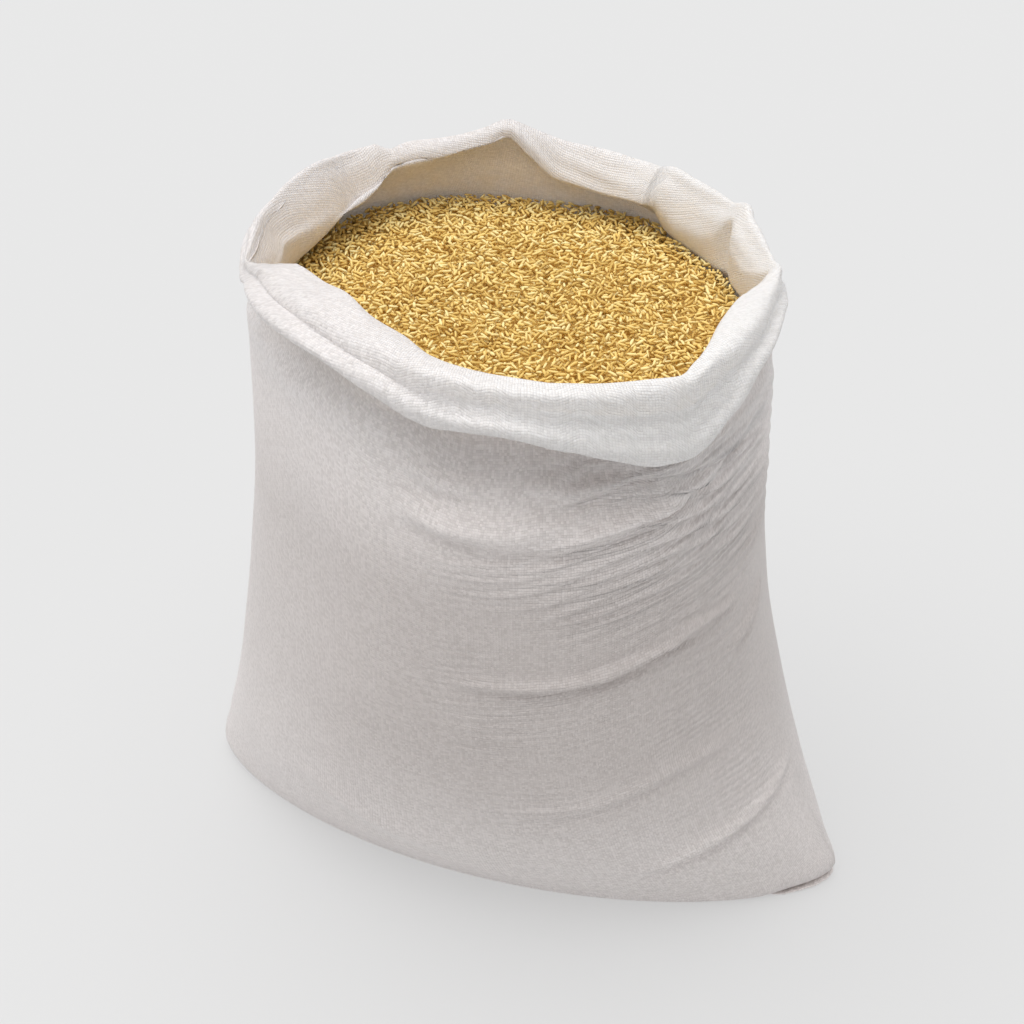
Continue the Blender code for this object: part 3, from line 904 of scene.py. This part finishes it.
def woven_cloth_material():
    material, tree, shader = new_material("woven_polypropylene", CLOTH_COLOUR, 0.42)
    shader.inputs["Specular IOR Level"].default_value = 0.55
    shader.inputs["Subsurface Radius"].default_value = (1.0, 0.9, 0.8)
    shader.inputs["Subsurface Scale"].default_value = 0.002
    shader.inputs["Sheen Weight"].default_value = 0.12
    shader.inputs["Sheen Roughness"].default_value = 0.4
    flat = add_node(tree, "ShaderNodeUVMap", "flat cloth", uv_map="weave").outputs["UV"]
    solid = tree.nodes.new("ShaderNodeTexCoord").outputs["Object"]
    weave = tree.nodes.new("ShaderNodeGroup")
    weave.node_tree = tape_weave_group()
    weave.inputs["Tape Width"].default_value = TAPE_WIDTH
    tree.links.new(flat, weave.inputs["Flat Cloth"])
    tone = weave.outputs["Tone"]
    pale = colour_ramp(tree, tone, ((0.24, CLOTH_COLOUR), (0.78, CLOTH_LIGHT)))
    patches = noise(tree, solid, 9.0, 3.0)
    cloth = mix_colours(tree, maths(tree, "MULTIPLY", patches, 0.10), pale, CLOTH_SHADE)
    solid_place = tree.nodes.new("ShaderNodeSeparateXYZ")
    tree.links.new(solid, solid_place.inputs[0])
    across, height = solid_place.outputs["X"], solid_place.outputs["Z"]
    # light comes through the open mouth's cloth, and hardly through the filled body's
    tree.links.new(ease(tree, height, 0.36, 0.41, 0.06, 0.32), shader.inputs["Subsurface Weight"])
    # painted shade on the filled body: darker at mid height and towards the right side, together with the
    # litter showing through the cloth
    filled = maths(tree, "MULTIPLY", ease(tree, height, 0.04, 0.19), ease(tree, height, 0.37, 0.29))
    filled = maths(tree, "MULTIPLY", filled, ease(tree, across, -0.22, 0.02, 0.45, 1.0))
    cloth = mix_colours(tree, filled, cloth, CLOTH_FILLED_AND_PAINTED_SHADE, "MULTIPLY")
    # painted light: the cloth's inner face is lightened, more and more towards the right
    inner = add_node(tree, "ShaderNodeAttribute", "inner face", attribute_name="inner_face").outputs["Fac"]
    inner = maths(tree, "MULTIPLY", inner, ease(tree, across, -0.08, 0.12, 0.0, 0.80))
    cloth = mix_colours(tree, inner, cloth, CLOTH_INSIDE_PAINTED_LIGHT)
    mouth = ease(tree, height, 0.400, 0.414)
    # painted sheen: darker lengthwise streaks on the roll stand in for the tapes' streaky sheen; they also go
    # a little into the bump
    streaks = ease(tree, noise(tree, stretched(tree, flat, (16, 460, 1)), 1.0, 3.0), 0.38, 0.66)
    streaks = maths(tree, "MULTIPLY", streaks, mouth)
    cloth = mix_colours(tree, maths(tree, "MULTIPLY", streaks, 0.13), cloth, CLOTH_PAINTED_SHEEN_STREAK)
    # painted shade where the tapes dip at their edges and pass under each other
    painted_weave_shade = maths(tree, "MAXIMUM", maths(tree, "SUBTRACT", 1.0, weave.outputs["Height"]), 0.0)
    cloth = mix_colours(tree, maths(tree, "MULTIPLY", painted_weave_shade, 0.16), cloth, CLOTH_PAINTED_GAP_SHADE)
    # litter dust near the litter's edge, together with painted warm light bounced up from the golden litter
    dust_bounce_mask = add_node(tree, "ShaderNodeAttribute", "litter dust", attribute_name="litter_dust_and_bounce").outputs["Fac"]
    speckle = colour_ramp(tree, noise(tree, solid, 60.0, 4.0, 0.6), ((0.35, (0.25,) * 3), (0.70, (1.0,) * 3)))
    dust_bounce_share = maths(tree, "MULTIPLY", maths(tree, "MULTIPLY", dust_bounce_mask, speckle), 0.40)
    cloth = mix_colours(tree, dust_bounce_share, cloth, DUST_AND_BOUNCE_COLOUR)
    tree.links.new(cloth, shader.inputs["Base Color"])
    rough = maths(tree, "MULTIPLY_ADD", weave.outputs["Sparkle"], 0.20, 0.30)
    tree.links.new(maths(tree, "MULTIPLY_ADD", dust_bounce_mask, 0.25, rough), shader.inputs["Roughness"])
    creased = tree.nodes.new("ShaderNodeBump")
    creased.inputs["Strength"].default_value = 1.0
    creased.inputs["Distance"].default_value = FOLD_HEIGHT
    folds = maths(tree, "MULTIPLY_ADD", streaks, 0.05, fine_folds(tree, flat, height))
    tree.links.new(folds, creased.inputs["Height"])
    bump = tree.nodes.new("ShaderNodeBump")
    bump.inputs["Strength"].default_value = 0.9
    bump.inputs["Distance"].default_value = 0.00035
    tree.links.new(weave.outputs["Height"], bump.inputs["Height"])
    tree.links.new(creased.outputs["Normal"], bump.inputs["Normal"])
    tree.links.new(bump.outputs["Normal"], shader.inputs["Normal"])
    return material


def fine_folds(tree, flat, height):
    """Fine folds that climb to the right on the front of the body, too thin for the mesh."""
    split = tree.nodes.new("ShaderNodeSeparateXYZ")
    tree.links.new(flat, split.inputs[0])
    around = split.outputs["X"]
    climb = ease(tree, around, 0.79, 1.00, 0.0, 0.034)
    place = tree.nodes.new("ShaderNodeCombineXYZ")
    tree.links.new(maths(tree, "MULTIPLY", around, 0.25), place.inputs["X"])
    tree.links.new(maths(tree, "SUBTRACT", height, climb), place.inputs["Y"])
    level = place.outputs[0]
    patches = ease(tree, noise(tree, stretched(tree, level, (34, 20, 1)), 1.0, 2.0), 0.34, 0.66)
    right = maths(tree, "MULTIPLY", ease(tree, around, 0.82, 0.93), ease(tree, around, 1.055, 1.02))
    upper = maths(tree, "MULTIPLY", ease(tree, height, 0.25, 0.32), ease(tree, height, 0.415, 0.395))
    strong = fold_waves(tree, level, STRONG_FOLD_PERIOD, 3.0)
    strong = maths(tree, "MULTIPLY", maths(tree, "MULTIPLY", right, upper), strong)
    front = maths(tree, "MULTIPLY", ease(tree, around, 0.74, 0.82), ease(tree, around, 1.055, 1.00))
    middle = maths(tree, "MULTIPLY", ease(tree, height, 0.02, 0.14), ease(tree, height, 0.41, 0.34))
    slight = fold_waves(tree, level, SLIGHT_FOLD_PERIOD, 5.0)
    slight = maths(tree, "MULTIPLY", maths(tree, "MULTIPLY", front, middle), slight)
    slight = maths(tree, "MULTIPLY", slight, patches)
    return maths(tree, "MULTIPLY_ADD", slight, SLIGHT_FOLD_SHARE, strong)


def thread_material():
    material, tree, shader = new_material("sewing_thread", (0.84, 0.82, 0.79), 0.7)
    shader.inputs["Sheen Weight"].default_value = 0.3
    solid = tree.nodes.new("ShaderNodeTexCoord").outputs["Object"]
    twist = add_node(tree, "ShaderNodeTexWave", "ply twist", bands_direction="DIAGONAL")
    twist.inputs["Scale"].default_value = 700
    tree.links.new(solid, twist.inputs["Vector"])
    shade = colour_ramp(tree, twist.outputs["Fac"], ((0.2, (0.66, 0.63, 0.59)), (0.8, (0.88, 0.86, 0.83))))
    tree.links.new(shade, shader.inputs["Base Color"])
    bump = tree.nodes.new("ShaderNodeBump")
    bump.inputs["Strength"].default_value = 0.5
    bump.inputs["Distance"].default_value = 0.0002
    tree.links.new(twist.outputs["Fac"], bump.inputs["Height"])
    tree.links.new(bump.outputs["Normal"], shader.inputs["Normal"])
    return material


def granule_material():
    material, tree, shader = new_material("litter_granules", (0.66, 0.44, 0.16), 0.8)
    tone = add_node(tree, "ShaderNodeAttribute", "granule tone", attribute_name="granule_tone").outputs["Fac"]
    shade = colour_ramp(tree, tone, ((0.0, GRANULE_DARK), (0.5, GRANULE_COLOUR), (1.0, GRANULE_LIGHT)))
    tree.links.new(shade, shader.inputs["Base Color"])
    return material


# ---------------------------------------------------------------- stage

FLOOR_GREY = 0.27          # share of light that the floor sends back
FLOOR_GLOW = 0.43          # light of its own, which keeps the shadows soft
SKY_LIGHT = 0.50
LAMP_LIGHT = 2.62
LAMP_WIDTH = math.radians(75)
LAMP_DIRECTION = Vector((0.18, 0.05, -1.0))
CAMERA_LENS = 83.7
CAMERA_PLACE = (0.4079, -1.2218 + SEAM_Y, 1.1738)
CAMERA_TURN = math.radians(18.72)
CAMERA_TILT = math.radians(35.38)


def make_stage():
    deselect_all()
    bpy.ops.mesh.primitive_plane_add(size=30, location=(0, 0, 0))
    floor = bpy.context.object
    floor.name = "floor"
    material, _, shader = new_material("floor_paint", (FLOOR_GREY,) * 3, 0.9)
    shader.inputs["Emission Color"].default_value = (1, 1, 1, 1)
    shader.inputs["Emission Strength"].default_value = FLOOR_GLOW
    floor.data.materials.append(material)


def make_lights():
    world = bpy.data.worlds.new("studio")
    bpy.context.scene.world = world
    world.use_nodes = True
    world.node_tree.nodes["Background"].inputs["Color"].default_value = (1.0, 1.0, 1.0, 1)
    world.node_tree.nodes["Background"].inputs["Strength"].default_value = SKY_LIGHT
    sun = bpy.data.lights.new("overhead_light", "SUN")
    sun.energy = LAMP_LIGHT
    sun.angle = LAMP_WIDTH
    lamp = bpy.data.objects.new("overhead_light", sun)
    lamp.rotation_euler = LAMP_DIRECTION.to_track_quat("-Z", "Y").to_euler()
    bpy.context.scene.collection.objects.link(lamp)


def make_camera():
    data = bpy.data.cameras.new("camera")
    data.lens = CAMERA_LENS
    data.sensor_width = 36
    camera = bpy.data.objects.new("camera", data)
    camera.location = CAMERA_PLACE
    level = math.cos(CAMERA_TILT)
    away = Vector((-math.sin(CAMERA_TURN) * level, math.cos(CAMERA_TURN) * level, -math.sin(CAMERA_TILT)))
    camera.rotation_euler = away.to_track_quat("-Z", "Y").to_euler()
    bpy.context.scene.collection.objects.link(camera)
    bpy.context.scene.camera = camera
    bpy.context.scene.view_settings.view_transform = "Standard"


# ---------------------------------------------------------------- making the sack

cloth_finish = woven_cloth_material()
granule_finish = granule_material()
thread_finish = thread_material()

even_angles = np.arange(COLUMNS) * TWO_PI / COLUMNS
column_angles = even_angles - DENSITY * (np.sin(even_angles - DENSE_SIDE) + math.sin(DENSE_SIDE))
cloth_grid, body_rows = cloth_loops(column_angles)

sack_cloth = make_cloth(column_angles, cloth_grid, body_rows, cloth_finish)
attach(sack_cloth, "root")
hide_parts("woven_sack")

bottom_hem = make_hem(cloth_finish)
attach(bottom_hem, "root")

bottom_stitches = make_stitches(thread_finish)
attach(bottom_stitches, "root")
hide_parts("bottom_seam_thread")

litter_rim = litter_outline(column_angles, cloth_grid, body_rows)
litter_bed = make_litter_bed(granule_finish, cloth_grid, body_rows, column_angles, litter_rim)
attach(litter_bed, "root")
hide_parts("litter_fill")
granules = make_granules(granule_finish, column_angles, litter_rim)
for piece in granules:
    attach(piece, "root")

make_stage()
make_lights()
make_camera()
